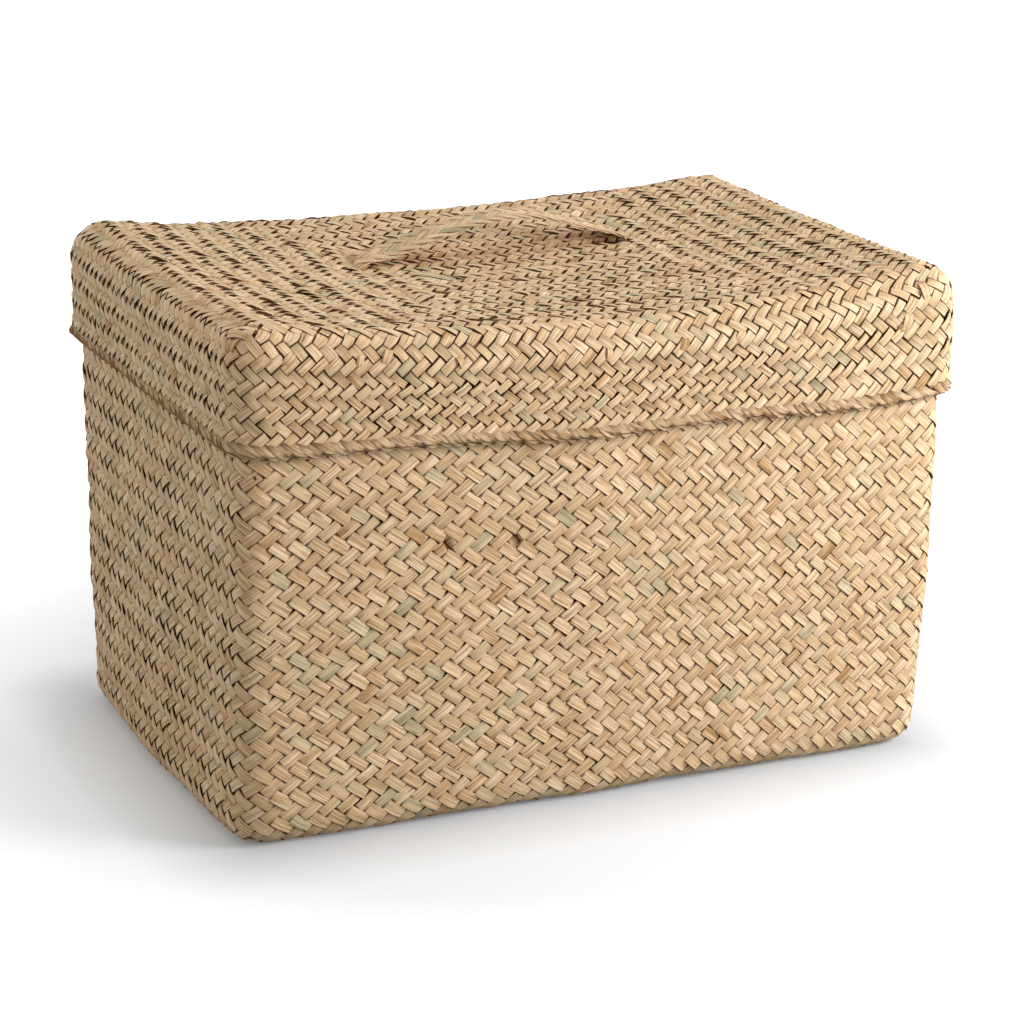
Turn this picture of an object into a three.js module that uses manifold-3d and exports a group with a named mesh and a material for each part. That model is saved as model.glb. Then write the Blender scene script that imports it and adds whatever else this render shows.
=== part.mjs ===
// Lidded storage box, plaited from flat straw strips in two plies, with a strap handle on its lid.
// Millimetres, +Z up. The origin is the middle of the footprint, on the surface the box stands on.
// The long side runs along X and the front faces -Y.
import * as THREE from "three";
import { mergeVertices } from "three/addons/utils/BufferGeometryUtils.js";
import Module from "manifold-3d";

const wasm = await Module();
wasm.setup();

// Body: a tapered tub with soft upright edges and sides that bow outwards.
const rimHalfWidth = 179.5;
const rimHalfDepth = 120.1;
const rimHeight = 218;
const taperWidth = 0.2; // how far the base lies inside the rim at each end
const taperDepth = 7.5; // and at the front and back
const taperPower = 0.46; // most of the taper is near the base
const baseEdgeRadius = 11.2;
const baseCorner = 19;
const rimCorner = 12.5;
const cornerRise = 0.42; // share of the height over which the upright edges tighten
const sharpestCorner = 1; // where a rounded edge meets a corner, in the body and the lid
const baseBowFront = 2.2;
const baseBowSide = 4.3;
const rimBowFront = 2;
const rimBowSide = 0.6;

// Plait: each wall is an outer ply and an inner ply, turned over into each other at the edge.
const plyThickness = 1.5;
const plyGap = 0.3;
const foldHeight = 4.5;
const foldProud = 0.3; // the turned edge stands this far past both plies
const foldGap = 0.3;
const foldUpright = 0.4; // share of the fold's height that stands upright
const foldRound = 0.25; // share of the wall that each of its rounded edges takes

// Lid: a telescoping cap with peaked corners, a sagging top and a wavy hem.
const hemClearance = 0.9; // between the turned edges, as the hem slides down past the rim
const shoulderClearance = 0.4;
const seatGap = 0.6;
const skirtHeight = 61.5;
const shoulderRadius = 19.75;
const sagFront = 14;
const sagBack = 7.5;
const sagMiddle = 7;
const sagSides = 2.25;
const sagPower = 2.27; // how close to the corners the edges begin to sag
const hemBow = 4.3;
const hemTilt = 3.7; // the hem hangs lower on the right by this much each side of the middle
const hemWave = 1.1;
const hemWaveLength = 148;
const hemWaveStart = 20; // where the wave begins to rise, right of the middle

// Handle: a flat strap that arches over the lid and passes through it at both ends.
const strapWidth = 24;
const strapThickness = 2;
const strapEdge = 0.8; // chamfer along both edges of the strap
const strapLeft = -66;
const strapRight = 80;
const strapSetBack = 37;
const strapSkew = 9; // how far the right foot lies behind the left one
const archHeight = 19;
const archSkew = 1.15;
const tailLength = 28;
const tailGap = 0.7;
const slitClearance = 0.35;
const footRise = 1.6;
const footRun = 1.5;
const footReach = 5;

// Facets
const longSideSteps = 12;
const shortSideSteps = 6;
const cornerSteps = 4;
const edgeSteps = 4;
const wallSteps = 5;
const skirtSteps = 3;
const topSteps = 7;
const archSteps = 7;
const strapStations = 44;

// Derived sizes
const baseHalfWidth = rimHalfWidth - taperWidth;
const baseHalfDepth = rimHalfDepth - taperDepth;
const wall = 2 * plyThickness + plyGap;
const innerPlyInset = plyThickness + plyGap;
const hemOverRim = 2 * foldProud + hemClearance + wall;
const hemHalfWidth = rimHalfWidth + hemOverRim;
const hemHalfDepth = rimHalfDepth + hemOverRim;
const lidCorner = rimCorner + hemOverRim;
const shoulderOverRim = foldProud + shoulderClearance + wall;
const shoulderHalfWidth = rimHalfWidth + shoulderOverRim;
const shoulderHalfDepth = rimHalfDepth + shoulderOverRim;
const innerShoulder = shoulderRadius - wall;
const seatReach = innerShoulder - shoulderClearance;
const seatDrop = innerShoulder - Math.sqrt(innerShoulder ** 2 - seatReach ** 2);
const cornerHeight = rimHeight + seatGap + seatDrop + wall + sagFront;
const hemHeight = cornerHeight - skirtHeight;

const mix = (from, to, share) => from + (to - from) * share;

// One closed outline: four bowed sides and four soft corners, always with the same count of points.
function outline(halfWidth, halfDepth, corner, bowFront, bowSide) {
  const ends = [
    [-halfWidth + corner, -halfDepth],
    [halfWidth - corner, -halfDepth],
    [halfWidth, -halfDepth + corner],
    [halfWidth, halfDepth - corner],
    [halfWidth - corner, halfDepth],
    [-halfWidth + corner, halfDepth],
    [-halfWidth, halfDepth - corner],
    [-halfWidth, -halfDepth + corner],
  ];
  const pulls = [
    [0, -halfDepth - 2 * bowFront],
    [halfWidth, -halfDepth],
    [halfWidth + 2 * bowSide, 0],
    [halfWidth, halfDepth],
    [0, halfDepth + 2 * bowFront],
    [-halfWidth, halfDepth],
    [-halfWidth - 2 * bowSide, 0],
    [-halfWidth, -halfDepth],
  ];
  const steps = [longSideSteps, cornerSteps, shortSideSteps, cornerSteps];
  const point = ([x, y]) => new THREE.Vector2(x, y);
  return ends.flatMap((end, i) => {
    const next = ends[(i + 1) % ends.length];
    const curve = new THREE.QuadraticBezierCurve(point(end), point(pulls[i]), point(next));
    return curve.getPoints(steps[i % steps.length]).slice(0, -1);
  });
}

// Triangles between rings of equal count, with the first and last ring closed by a fan. From the ring
// where the loft turns back, quads are split along the other diagonal, so that both faces of a ply match.
function loft(rings, firstHub, lastHub, turnsBackAt = rings.length) {
  const count = rings[0].length;
  const points = [...rings.flat(), firstHub, lastHub];
  const firstIndex = points.length - 2;
  const lastIndex = points.length - 1;
  const lastRing = (rings.length - 1) * count;
  const faces = [];
  for (let i = 0; i < count; i++) {
    const j = (i + 1) % count;
    faces.push(firstIndex, j, i);
    faces.push(lastIndex, lastRing + i, lastRing + j);
    for (let ring = 0; ring < rings.length - 1; ring++) {
      const low = ring * count;
      const high = low + count;
      const corners = [low + i, low + j, high + j, high + i];
      const [a, b, c, d] = ring < turnsBackAt ? corners : [...corners.slice(1), corners[0]];
      faces.push(a, b, c, a, c, d);
    }
  }
  return indexed(points, faces);
}

// Triangles of a band whose section runs round a closed loop.
function bandLoop(rings) {
  const count = rings[0].length;
  const faces = [];
  rings.forEach((_, ring) => {
    const low = ring * count;
    const high = ((ring + 1) % rings.length) * count;
    for (let i = 0; i < count; i++) {
      const j = (i + 1) % count;
      faces.push(low + i, low + j, high + j);
      faces.push(low + i, high + j, high + i);
    }
  });
  return indexed(rings.flat(), faces);
}

function indexed(points, faces) {
  const geometry = new THREE.BufferGeometry().setFromPoints(points);
  geometry.setIndex(faces);
  geometry.computeVertexNormals();
  return geometry;
}

// A surface of the body, set in from its outside: rings from the floor up to the given height.
function bodyRings(inset, top) {
  const radius = baseEdgeRadius - inset;
  const ringAt = (height, edgeInset) => {
    const rise = Math.min(1, height / rimHeight);
    const share = rise ** taperPower;
    const halfWidth = mix(baseHalfWidth, rimHalfWidth, share) - inset - edgeInset;
    const halfDepth = mix(baseHalfDepth, rimHalfDepth, share) - inset - edgeInset;
    const upright = mix(baseCorner, rimCorner, Math.min(1, rise / cornerRise));
    const corner = Math.max(sharpestCorner, upright - inset - edgeInset);
    const bowFront = mix(baseBowFront, rimBowFront, rise);
    const bowSide = mix(baseBowSide, rimBowSide, rise);
    const flat = outline(halfWidth, halfDepth, corner, bowFront, bowSide);
    return flat.map((p) => new THREE.Vector3(p.x, p.y, height));
  };
  const rings = [];
  for (let k = 0; k < edgeSteps; k++) {
    const turn = (k / edgeSteps) * (Math.PI / 2);
    rings.push(ringAt(inset + radius * (1 - Math.cos(turn)), radius * (1 - Math.sin(turn))));
  }
  for (let k = 0; k <= wallSteps; k++) {
    rings.push(ringAt(mix(baseEdgeRadius, top, k / wallSteps), 0));
  }
  return rings;
}

// Height of the lid's outside: corners stand up, edges and middle sag.
function lidTopAt(x, y) {
  const along = Math.min(1, Math.abs(x) / shoulderHalfWidth) ** sagPower;
  const across = Math.max(-1, Math.min(1, y / shoulderHalfDepth));
  const edges = mix(sagFront, sagBack, (across + 1) / 2);
  const bowl = 1 - across ** 2;
  return cornerHeight - (1 - along) * (edges + sagMiddle * bowl) - along * sagSides * bowl;
}

function hemAt(x) {
  const share = Math.max(-1, Math.min(1, x / hemHalfWidth));
  const wave = hemWave * Math.sin((2 * Math.PI * (x - hemWaveStart)) / hemWaveLength);
  return hemHeight - hemBow * (1 - share ** 2) - hemTilt * share + wave;
}

// A surface of the lid, set in from its outside: rings from the middle of the top out to the shoulder
// and down the skirt, ending at the given height over the hem.
function lidRings(inset, overHem) {
  const radius = shoulderRadius - inset;
  const plan = (share, edgeInset) =>
    outline(
      mix(hemHalfWidth, shoulderHalfWidth, share) - inset - edgeInset,
      mix(hemHalfDepth, shoulderHalfDepth, share) - inset - edgeInset,
      Math.max(sharpestCorner, lidCorner - inset - edgeInset),
      rimBowFront,
      rimBowSide,
    );
  const rings = [];
  const flatEdge = plan(1, radius);
  for (let k = 1; k <= topSteps; k++) {
    const share = k / topSteps;
    rings.push(flatEdge.map((p) => {
      const x = p.x * share;
      const y = p.y * share;
      return new THREE.Vector3(x, y, lidTopAt(x, y) - inset);
    }));
  }
  for (let k = 1; k <= edgeSteps; k++) {
    const turn = (k / edgeSteps) * (Math.PI / 2);
    const drop = radius * (1 - Math.cos(turn));
    rings.push(plan(1, radius * (1 - Math.sin(turn))).map(
      (p) => new THREE.Vector3(p.x, p.y, lidTopAt(p.x, p.y) - inset - drop),
    ));
  }
  for (let k = 1; k <= skirtSteps; k++) {
    const share = k / skirtSteps;
    rings.push(plan(1 - share, 0).map((p) => {
      const shoulder = lidTopAt(p.x, p.y) - shoulderRadius;
      return new THREE.Vector3(p.x, p.y, mix(shoulder, hemAt(p.x) + overHem, share));
    }));
  }
  return rings;
}

// The ply between two insets of the body. Its rings run up the outside and down the inside.
function bodyPly(inset) {
  const top = rimHeight - foldHeight - foldGap;
  const outside = bodyRings(inset, top);
  const inside = bodyRings(inset + plyThickness, top).reverse();
  const floor = new THREE.Vector3(0, 0, inset);
  const ceiling = new THREE.Vector3(0, 0, inset + plyThickness);
  return loft([...outside, ...inside], floor, ceiling, outside.length);
}

// The ply between two insets of the lid. Its rings run up the inside and down the outside.
function lidPly(inset) {
  const overHem = foldHeight + foldGap;
  const outside = lidRings(inset, overHem).reverse();
  const inside = lidRings(inset + plyThickness, overHem);
  const middle = lidTopAt(0, 0) - inset;
  const under = new THREE.Vector3(0, 0, middle - plyThickness);
  const over = new THREE.Vector3(0, 0, middle);
  return loft([...inside, ...outside], under, over, inside.length);
}

// A turned edge: a bead with rounded faces that closes both plies along an outline.
function foldBead(outer, inner, heightAt) {
  const half = foldHeight / 2;
  const rings = outer.map((edge, i) => {
    const across = inner[i].clone().sub(edge);
    const reach = across.length();
    const way = across.clone().normalize();
    const at = (share, rise) => {
      const p = edge.clone().addScaledVector(way, share);
      return new THREE.Vector3(p.x, p.y, heightAt(edge.x) + half + rise * half);
    };
    const rounded = reach * foldRound;
    return [
      at(-foldProud, -foldUpright),
      at(rounded, -1),
      at(reach - rounded, -1),
      at(reach + foldProud, -foldUpright),
      at(reach + foldProud, foldUpright),
      at(reach - rounded, 1),
      at(rounded, 1),
      at(-foldProud, foldUpright),
    ];
  });
  return bandLoop(rings);
}

function rimFold() {
  const edge = (inset) =>
    outline(rimHalfWidth - inset, rimHalfDepth - inset, rimCorner - inset, rimBowFront, rimBowSide);
  return foldBead(edge(0), edge(wall), () => rimHeight - foldHeight);
}

function hemFold() {
  const edge = (inset) =>
    outline(hemHalfWidth - inset, hemHalfDepth - inset, lidCorner - inset, rimBowFront, rimBowSide);
  return foldBead(edge(0), edge(wall), hemAt);
}

// Middle line of the strap: along X, and in height over the outside of the lid.
function strapLine() {
  const under = -(wall + tailGap + strapThickness / 2);
  const span = strapRight - strapLeft;
  const arch = [];
  for (let k = 1; k < archSteps; k++) {
    const share = k / archSteps;
    const height = archHeight * Math.sin(Math.PI * share ** archSkew) - strapThickness / 2;
    arch.push(new THREE.Vector2(strapLeft + span * share, height));
  }
  return new THREE.SplineCurve([
    new THREE.Vector2(strapLeft - tailLength, under),
    new THREE.Vector2(strapLeft - footReach, under),
    new THREE.Vector2(strapLeft + footRun, footRise),
    ...arch,
    new THREE.Vector2(strapRight - footRun, footRise),
    new THREE.Vector2(strapRight + footReach, under),
    new THREE.Vector2(strapRight + tailLength, under),
  ]);
}

// The strap, or the same strap grown by a clearance, as the slits need it.
function strap(grow) {
  const line = strapLine();
  const halfWidth = strapWidth / 2 + grow;
  const halfThickness = strapThickness / 2 + grow;
  const section = [
    [-halfWidth, 0],
    [-halfWidth + strapEdge, -halfThickness],
    [halfWidth - strapEdge, -halfThickness],
    [halfWidth, 0],
    [halfWidth - strapEdge, halfThickness],
    [-halfWidth + strapEdge, halfThickness],
  ];
  const middle = (strapLeft + strapRight) / 2;
  const span = strapRight - strapLeft;
  const rings = [];
  for (let k = 0; k <= strapStations; k++) {
    const share = k / strapStations;
    const at = line.getPointAt(share);
    const tangent = line.getTangentAt(share);
    const setBack = strapSetBack + (strapSkew * (at.x - middle)) / span;
    const place = (across, lift) => {
      const x = at.x - tangent.y * lift;
      const y = setBack + across;
      return new THREE.Vector3(x, y, lidTopAt(at.x, y) + at.y + tangent.x * lift);
    };
    rings.push(section.map(([across, lift]) => place(across, lift)));
  }
  const hub = (ring) =>
    ring.reduce((sum, p) => sum.add(p), new THREE.Vector3()).divideScalar(ring.length);
  return loft(rings, hub(rings[0]), hub(rings[strapStations]));
}

function solidOf(geometry) {
  const bare = geometry.clone();
  bare.deleteAttribute("normal");
  const merged = mergeVertices(bare);
  const mesh = new wasm.Mesh({
    numProp: 3,
    vertProperties: merged.attributes.position.array,
    triVerts: new Uint32Array(merged.index.array),
  });
  return new wasm.Manifold(mesh);
}

function cut(geometry, tool) {
  const mesh = solidOf(geometry).subtract(solidOf(tool)).getMesh();
  const result = new THREE.BufferGeometry();
  result.setAttribute("position", new THREE.BufferAttribute(mesh.vertProperties, 3));
  result.setIndex(new THREE.BufferAttribute(mesh.triVerts, 1));
  result.computeVertexNormals();
  return result;
}

function piece(name, geometry, color, roughness) {
  const material = new THREE.MeshStandardMaterial({ color, roughness, metalness: 0 });
  const mesh = new THREE.Mesh(geometry, material);
  mesh.name = name;
  return mesh;
}

const strawOuter = 0xc4a67c;
const strawInner = 0xb0946c;
const strawFold = 0xbd9a6c;
const strawStrap = 0xb99a6e;
const plaitRoughness = 0.75;
const foldRoughness = 0.68;

const body = new THREE.Group();
body.add(piece("body_outer_ply", bodyPly(0), strawOuter, plaitRoughness));
body.add(piece("body_inner_ply", bodyPly(innerPlyInset), strawInner, plaitRoughness));
body.add(piece("body_rim_fold", rimFold(), strawFold, foldRoughness));

const slits = strap(slitClearance);
const lid = new THREE.Group();
lid.add(piece("lid_outer_ply", cut(lidPly(0), slits), strawOuter, plaitRoughness));
lid.add(piece("lid_inner_ply", cut(lidPly(innerPlyInset), slits), strawInner, plaitRoughness));
lid.add(piece("lid_hem_fold", hemFold(), strawFold, foldRoughness));
lid.add(piece("handle_strap", strap(0), strawStrap, foldRoughness));

const box = new THREE.Group();
box.add(body, lid);

export default box;
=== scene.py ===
import math
import bpy
import numpy as np
from mathutils import Matrix, Vector


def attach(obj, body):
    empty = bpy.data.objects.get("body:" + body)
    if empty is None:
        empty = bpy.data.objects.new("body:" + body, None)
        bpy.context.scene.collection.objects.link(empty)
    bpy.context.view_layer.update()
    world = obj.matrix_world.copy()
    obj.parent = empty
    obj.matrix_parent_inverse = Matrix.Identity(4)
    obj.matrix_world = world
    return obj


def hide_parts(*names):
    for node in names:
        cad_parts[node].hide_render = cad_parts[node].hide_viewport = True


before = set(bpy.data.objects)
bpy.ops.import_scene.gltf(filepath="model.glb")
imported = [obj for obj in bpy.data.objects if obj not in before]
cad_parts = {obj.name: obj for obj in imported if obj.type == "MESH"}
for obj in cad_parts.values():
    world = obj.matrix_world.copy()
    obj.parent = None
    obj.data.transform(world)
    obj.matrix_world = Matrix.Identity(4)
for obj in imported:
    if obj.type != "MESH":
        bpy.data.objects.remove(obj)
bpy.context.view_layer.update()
scene = bpy.context.scene
mm = 0.001  # every size below is in millimetres until a mesh is written
print("frame loaded:", sorted(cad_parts))


# shape of the box, the same sizes as the solids
bodyShape = {
    "halfWidth": 179.5, "halfDepth": 120.1, "height": 218.0,  # at the rim
    "taper": (0.2, 7.5), "taperPower": 0.46,
    "edgeRadius": 11.2, "corner": (19.0, 12.5), "cornerRise": 0.42, "sharpest": 1.0,  # base, rim
    "bowFront": (2.2, 2.0), "bowSide": (4.3, 0.6),  # base, rim
    "wall": 3.3, "foldProud": 0.3,
}
lidShape = {
    "hemRoom": 0.9, "shoulderRoom": 0.4, "seat": 0.6, "skirt": 61.5, "radius": 19.75,
    "sagFront": 14.0, "sagBack": 7.5, "sagMiddle": 7.0, "sagSides": 2.25, "sagPower": 2.27,
    "hemBow": 4.3, "hemTilt": 3.7, "hemWave": 1.1, "waveLength": 148.0, "waveStart": 20.0,
}
handWork = {"uneven": 0.55, "waves": 9, "lengths": (45.0, 130.0), "seed": 5}  # dents of a soft wall

hemOver = 2 * bodyShape["foldProud"] + lidShape["hemRoom"] + bodyShape["wall"]
shoulderOver = bodyShape["foldProud"] + lidShape["shoulderRoom"] + bodyShape["wall"]
lidHem = (bodyShape["halfWidth"] + hemOver, bodyShape["halfDepth"] + hemOver)
lidShoulder = (bodyShape["halfWidth"] + shoulderOver, bodyShape["halfDepth"] + shoulderOver)
lidCorner = bodyShape["corner"][1] + hemOver
innerRadius = lidShape["radius"] - bodyShape["wall"]
seatDrop = innerRadius - math.sqrt(innerRadius ** 2 - (innerRadius - lidShape["shoulderRoom"]) ** 2)
lidPeak = bodyShape["height"] + lidShape["seat"] + seatDrop + bodyShape["wall"] + lidShape["sagFront"]
hemLevel = lidPeak - lidShape["skirt"]
sideSamples = 120  # points on each side of an outline


def mix(a, b, share):
    return a + (b - a) * share


def unit(v):
    return v / np.maximum(np.linalg.norm(v, axis=-1, keepdims=True), 1e-9)


def outlineRing(halfWidth, halfDepth, corner, bowFront, bowSide):
    ends = np.array([(-halfWidth + corner, -halfDepth), (halfWidth - corner, -halfDepth),
                     (halfWidth, -halfDepth + corner), (halfWidth, halfDepth - corner),
                     (halfWidth - corner, halfDepth), (-halfWidth + corner, halfDepth),
                     (-halfWidth, halfDepth - corner), (-halfWidth, -halfDepth + corner)])
    pulls = np.array([(0, -halfDepth - 2 * bowFront), (halfWidth, -halfDepth),
                      (halfWidth + 2 * bowSide, 0), (halfWidth, halfDepth),
                      (0, halfDepth + 2 * bowFront), (-halfWidth, halfDepth),
                      (-halfWidth - 2 * bowSide, 0), (-halfWidth, -halfDepth)])

    def curve(i, start, stop):
        t = np.linspace(start, stop, 40)[:, None]
        return (1 - t) ** 2 * ends[i % 8] + 2 * t * (1 - t) * pulls[i % 8] + t ** 2 * ends[(i + 1) % 8]

    sides = []
    for k in range(0, 8, 2):  # each side runs from the middle of one corner to the middle of the next
        line = np.concatenate([curve(k - 1, 0.5, 1), curve(k, 0, 1)[1:], curve(k + 1, 0, 0.5)[1:]])
        run = np.concatenate([[0], np.cumsum(np.linalg.norm(np.diff(line, axis=0), axis=1))])
        at = np.linspace(0, run[-1], sideSamples, endpoint=False)
        sides.append(np.stack([np.interp(at, run, line[:, 0]), np.interp(at, run, line[:, 1])], 1))
    return np.concatenate(sides)


def lidTopAt(x, y):
    along = np.minimum(1, np.abs(x) / lidShoulder[0]) ** lidShape["sagPower"]
    across = np.clip(y / lidShoulder[1], -1, 1)
    edges = mix(lidShape["sagFront"], lidShape["sagBack"], (across + 1) / 2)
    bowl = 1 - across ** 2
    sag = mix(edges + lidShape["sagMiddle"] * bowl, lidShape["sagSides"] * bowl, along)
    return lidPeak - sag


def hemAt(x):
    share = np.clip(x / lidHem[0], -1, 1)
    wave = lidShape["hemWave"] * np.sin(2 * math.pi * (x - lidShape["waveStart"]) / lidShape["waveLength"])
    return hemLevel - lidShape["hemBow"] * (1 - share ** 2) - lidShape["hemTilt"] * share + wave


def bodyTray():
    s = bodyShape
    radius = s["edgeRadius"]
    arc = radius * math.pi / 2
    levels = np.concatenate([np.linspace(0, arc, 9), np.linspace(arc, arc + s["height"] - radius, 40)[1:]])
    rings = []
    for v in levels:
        turn = min(v, arc) / radius
        height = radius * (1 - math.cos(turn)) + max(0, v - arc)
        inset = radius * (1 - math.sin(turn))
        rise = min(1, height / s["height"])
        taper = 1 - rise ** s["taperPower"]
        upright = mix(*s["corner"], min(1, rise / s["cornerRise"]))
        flat = outlineRing(s["halfWidth"] - s["taper"][0] * taper - inset,
                           s["halfDepth"] - s["taper"][1] * taper - inset,
                           max(s["sharpest"], upright - inset),
                           mix(*s["bowFront"], rise), mix(*s["bowSide"], rise))
        rings.append(np.column_stack([flat, np.full(len(flat), height)]))
    flat = (s["halfWidth"] - s["taper"][0] - radius, s["halfDepth"] - s["taper"][1] - radius)
    return {"levels": levels, "grid": np.array(rings), "flat": flat, "arc": arc,
            "panel": lambda x, y: np.zeros_like(x), "heart": np.array((0, 0, 110.0)),
            "reach": arc + s["height"] - radius}


def lidTray():
    s = lidShape
    arc = s["radius"] * math.pi / 2
    straight = s["skirt"] - s["radius"]
    levels = np.concatenate([np.linspace(0, arc, 11), np.linspace(arc, arc + straight, 14)[1:]])
    rings = []
    for v in levels:
        turn = min(v, arc) / s["radius"]
        down = max(0, v - arc) / straight
        inset = s["radius"] * (1 - math.sin(turn))
        flat = outlineRing(mix(lidShoulder[0], lidHem[0], down) - inset,
                           mix(lidShoulder[1], lidHem[1], down) - inset,
                           max(bodyShape["sharpest"], lidCorner - inset),
                           bodyShape["bowFront"][1], bodyShape["bowSide"][1])
        x, y = flat.T
        shoulder = lidTopAt(x, y) - s["radius"] * (1 - math.cos(turn))
        rings.append(np.column_stack([flat, mix(shoulder, hemAt(x), down)]))
    return {"levels": levels, "grid": np.array(rings), "arc": arc,
            "flat": (lidShoulder[0] - s["radius"], lidShoulder[1] - s["radius"]),
            "panel": lidTopAt, "heart": np.array((0, 0, 190.0)), "reach": arc + straight}


def dents(p):  # slow unevenness, one field for all plies so that they stay parallel
    rng = np.random.default_rng(handWork["seed"])
    total = np.zeros(len(p))
    for _ in range(handWork["waves"]):
        way = unit(rng.normal(size=3))
        length = rng.uniform(*handWork["lengths"])
        total += np.sin(p @ way * (2 * math.pi / length) + rng.uniform(0, 6.28))
    return total * handWork["uneven"] / math.sqrt(handWork["waves"])


def ringPoint(tray, sample, v):
    grid = tray["grid"]
    count = grid.shape[1]
    level = np.interp(v, tray["levels"], np.arange(len(tray["levels"])))
    low = np.minimum(level.astype(int), len(tray["levels"]) - 2)
    up = (level - low)[:, None]
    sample = np.mod(sample, count)
    left = np.floor(sample).astype(int) % count
    right = (left + 1) % count
    over = (sample - np.floor(sample))[:, None]
    below = mix(grid[low, left], grid[low, right], over)
    above = mix(grid[low + 1, left], grid[low + 1, right], over)
    return mix(below, above, up)


def spread(tray, share):  # strands lie closer together towards one end of the long sides
    return np.interp(share, (-1, tray["closer"], 1), (-1, 0, 1))


def wallPoint(tray, q, d):  # q runs round the outline in half cells, d counts rows from the edge line
    n, m = tray["cells"]
    corners = np.array([0, 2 * n, 2 * n + 2 * m, 4 * n + 2 * m, 4 * n + 4 * m])
    quarter = np.interp(np.mod(q, corners[-1]), corners, np.arange(5))
    along = spread(tray, 2 * (quarter % 2) - 1)
    quarter = np.where(quarter < 1, (1 + along) / 2, quarter)
    rear = (quarter > 2) & (quarter < 3)
    sample = sideSamples * np.where(rear, 2.5 - spread(tray, 5 - 2 * quarter) / 2, quarter)
    edge = tray["arc"] / 2
    return ringPoint(tray, sample, edge + d * (tray["reach"] - edge) / tray["rows"])


def panelPoint(tray, a, b):  # the flat bottom or top, rounded over towards the edge line
    n, m = tray["cells"]
    flatX, flatY = tray["flat"]
    edge = tray["arc"] / 2
    x = spread(tray, a / n) * (flatX + edge)
    y = b * (flatY + edge) / m
    overX = (np.abs(x) - flatX) / edge
    overY = (np.abs(y) - flatY) / edge
    share = np.maximum(overX, overY)
    out = np.maximum(share, 0)
    alongX = np.clip(x / (flatX + out * edge), -1, 1)
    alongY = np.clip(y / (flatY + out * edge), -1, 1)
    onLong = overY >= overX
    quarter = np.where(onLong, np.where(y < 0, 0 + (1 + alongX) / 2, 2 + (1 - alongX) / 2),
                       np.where(x > 0, 1 + (1 + alongY) / 2, 3 + (1 - alongY) / 2))
    ring = ringPoint(tray, quarter * sideSamples, out * edge)
    s = (1 + np.clip(x / flatX, -1, 1)) / 2
    t = (1 + np.clip(y / flatY, -1, 1)) / 2
    start = np.zeros(len(s))
    front, right, rear, left = (ringPoint(tray, at * sideSamples, start) for at in (s, 1 + t, 3 - s, 4 - t))
    corners = [ringPoint(tray, np.full(len(s), k * sideSamples), start) for k in range(4)]
    s, t = s[:, None], t[:, None]
    ends = mix(mix(corners[0], corners[1], s), mix(corners[3], corners[2], s), t)
    flat = mix(front, rear, t) + mix(left, right, s) - ends
    flat[:, 2] = tray["panel"](flat[:, 0], flat[:, 1])
    return np.where((share > 0)[:, None], ring, flat)


def surfacePoint(tray, onWall, a, b):
    return np.where(onWall[:, None], wallPoint(tray, a, np.maximum(b, 0)), panelPoint(tray, a, b))


def surfaceFrame(tray, onWall, a, b):
    step = 0.12
    p = surfacePoint(tray, onWall, a, b)
    da = (surfacePoint(tray, onWall, a + step, b) - surfacePoint(tray, onWall, a - step, b)) / (2 * step)
    low = np.where(onWall, np.maximum(b - step, 0), b - step)
    high = np.where(onWall, np.minimum(b + step, tray["rows"]), b + step)
    db = (surfacePoint(tray, onWall, a, high) - surfacePoint(tray, onWall, a, low)) / (high - low)[:, None]
    cross = np.cross(da, db)
    cell = np.linalg.norm(cross, axis=1)
    normal = unit(cross)
    normal *= np.sign(np.sum(normal * (p - tray["heart"]), axis=1))[:, None]
    return p + normal * dents(p)[:, None], normal, cell


# plaiting: every strand runs up one wall, across the panel and up (or down) another
def strandPaths(tray, overOnPanel):
    n, m = tray["cells"]
    rows = tray["rows"]
    paths = []
    for way in (1, -1):  # strands along (1, 1), then along (1, -1)
        for index in range(-(n + m), n + m + 1, 2):
            first, last = max(-n, index - m), min(n, index + m)
            if first > last:
                continue
            xs = np.arange(first, last + 1)
            ys = way * (xs - index)
            panel = [(x, y, overOnPanel(x, y, way)) for x, y in zip(xs, ys)]
            walls = ([], [])
            ends = ((walls[0], xs[0], ys[0], -1, -way), (walls[1], xs[-1], ys[-1], 1, way))
            for wall, x, y, dx, dy in ends:
                outX, outY = abs(x + dx) > n, abs(y + dy) > m
                if outX and outY:  # a diagonal ends in the corner
                    continue
                if outY:
                    q, turn = (x + n, dx) if y < 0 else (2 * n + 2 * m + n - x, -dx)
                else:
                    q, turn = (2 * n + y + m, dy) if x > 0 else (4 * n + 2 * m + m - y, -dy)
                for d in range(0, rows - 1 if turn > 0 else rows):  # both end under the turned edge
                    lean = ((d + tray["phase"]) % 4) in (0, 1)
                    wall.append((q + turn * d, d, lean if turn < 0 else not lean))
            paths.append({"panel": panel, "start": walls[0], "end": walls[1]})
    return paths


stations = {"diving": (0.38, 0.54), "rising": (0.46, 0.62), "level": (0.34, 0.66)}  # shares between crossings


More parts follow.
